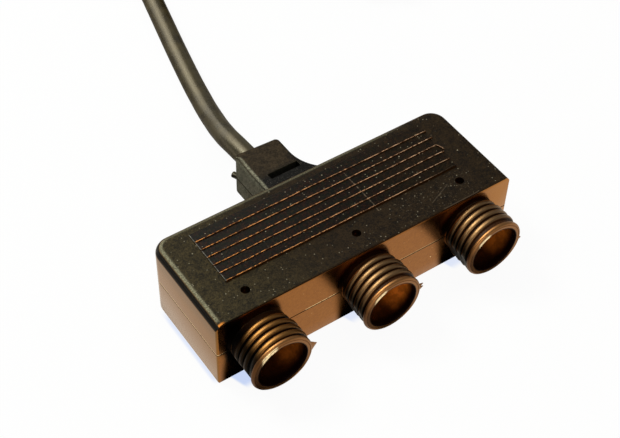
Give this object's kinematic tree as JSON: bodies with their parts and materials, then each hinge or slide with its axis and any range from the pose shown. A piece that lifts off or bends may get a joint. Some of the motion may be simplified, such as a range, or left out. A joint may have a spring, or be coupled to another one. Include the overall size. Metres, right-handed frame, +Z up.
{
  "type": "cable splitter",
  "caption": "Moulded block splitter: a lead with a screw-coupled plug feeds a row of round threaded sockets on the front of an oblong housing.",
  "frame": {"origin": "on the surface it stands on, under the middle of the housing with its spigots and boot", "axes": "+X along the row of sockets, the sockets face -Y, the cable leaves the back towards +Y, +Z up"},
  "size_m": [0.1375, 0.2207, 0.0234],
  "materials": {
    "housing_plastic": "spark-eroded matt, soft sheen",
    "insert_plastic": "smooth, dull",
    "contact_metal": "bright plated",
    "bus_metal": "tinned copper, satin",
    "core_brown": "smooth insulation",
    "core_blue": "smooth insulation",
    "cable_jacket": "smooth satin jacket",
    "tie_plastic": "smooth nylon",
    "seal_rubber": "soft moulded rubber",
    "nut_plastic": "moulded, satin"
  },
  "bodies": {
    "splitter": {"housing": "housing_plastic", "socket_insert_left": "insert_plastic", "socket_insert_middle": "insert_plastic", "socket_insert_right": "insert_plastic", "contact_left_upper": "contact_metal", "contact_left_lower": "contact_metal", "contact_middle_upper": "contact_metal", "contact_middle_lower": "contact_metal", "contact_right_upper": "contact_metal", "contact_right_lower": "contact_metal", "bus_wire_upper": "bus_metal", "bus_wire_lower": "bus_metal", "core_upper": "core_brown", "core_lower": "core_blue", "cable_entry": "cable_jacket", "cable_run": "cable_jacket", "cable_coil": "cable_jacket", "cable_tail": "cable_jacket", "coil_tie_near": "tie_plastic", "coil_tie_far": "tie_plastic", "plug_body": "housing_plastic", "plug_insert": "insert_plastic", "plug_pin_upper": "contact_metal", "plug_pin_lower": "contact_metal", "plug_core_upper": "core_brown", "plug_core_lower": "core_blue", "plug_cable_end": "cable_jacket", "sealing_ring": "seal_rubber"},
    "nut": {"coupling_nut": "nut_plastic"}
  },
  "joints": [
    {"name": "nut_turn", "type": "hinge", "parent": "splitter", "child": "nut", "pos_m": [0.08125, 0.09661, 0.0112], "axis": [0.0349, 0.9994, 0], "continuous": true}
  ]
}
